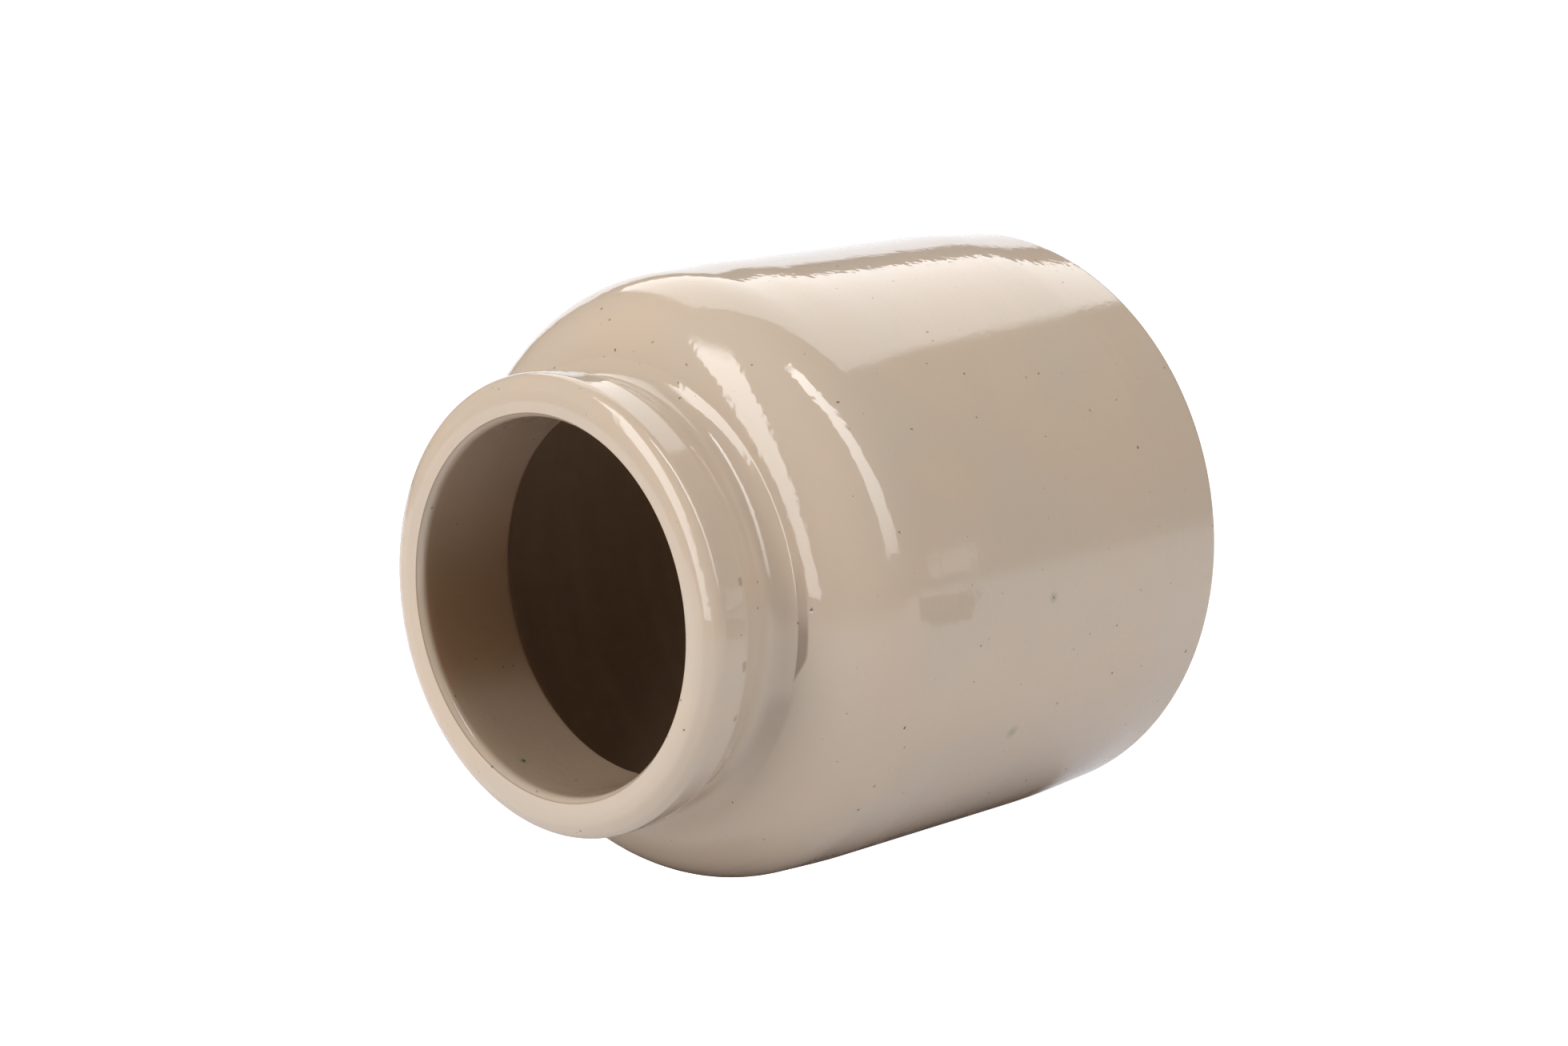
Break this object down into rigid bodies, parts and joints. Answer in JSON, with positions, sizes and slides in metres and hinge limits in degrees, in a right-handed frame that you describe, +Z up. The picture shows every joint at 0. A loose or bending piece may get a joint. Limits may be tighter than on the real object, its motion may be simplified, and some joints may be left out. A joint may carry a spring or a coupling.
{
  "type": "stoneware jar",
  "caption": "Wide-mouthed stoneware storage jar with a straight body, sloped shoulder, short grooved neck and rolled collar, glazed, without a lid.",
  "frame": {"origin": "centre of the foot, on the surface that the jar stands on", "axes": "+Z up, along the jar's axis of turning, from the foot towards the mouth"},
  "size_m": [0.16, 0.16, 0.1725],
  "materials": {
    "stoneware_glaze": "glossy greige stoneware glaze with fine dark iron specks"
  },
  "bodies": {
    "root": {"stoneware_jar": "stoneware_glaze"}
  },
  "joints": []
}
